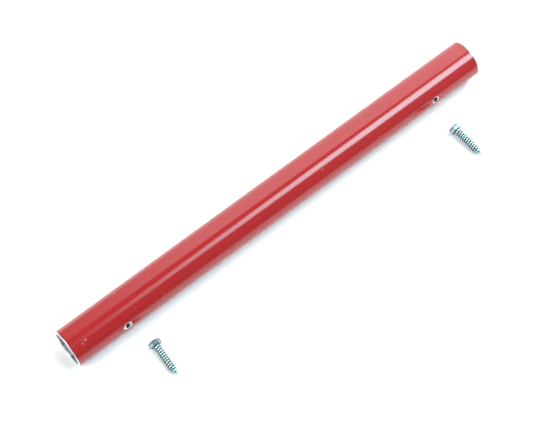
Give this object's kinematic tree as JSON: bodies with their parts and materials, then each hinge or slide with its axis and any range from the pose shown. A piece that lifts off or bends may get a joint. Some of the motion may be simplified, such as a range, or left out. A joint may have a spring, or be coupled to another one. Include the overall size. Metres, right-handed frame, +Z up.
{
  "type": "post driver sleeve tube",
  "caption": "Red painted round metal tube with a small drilled hole near each end and loose hex-head self-tapping screws lying beside it.",
  "frame": {"origin": "centre of the tube's bore, halfway along the tube; the floor is one tube radius below it", "axes": "+X along the tube from the open end seen in the picture to the other end, +Z up, with the screw holes and the two screws on the -Y side"},
  "size_m": [0.278, 0.0593, 0.0222],
  "materials": {
    "red_paint": "gloss red paint over steel, bare metal at the cut rims, in the holes and inside",
    "zinc_plate": "bright zinc-plated steel with a faint blue-green tint"
  },
  "bodies": {
    "sleeve": {"sleeve_tube": "red_paint"},
    "near_screw": {"near_screw": "zinc_plate"},
    "far_screw": {"far_screw": "zinc_plate"}
  },
  "joints": [
    {"name": "near_screw_lift", "type": "slide", "parent": "sleeve", "child": "near_screw", "axis": [0, 0, 1], "range_m": [0, 0.06]},
    {"name": "far_screw_lift", "type": "slide", "parent": "sleeve", "child": "far_screw", "axis": [0, 0, 1], "range_m": [0, 0.06]}
  ]
}
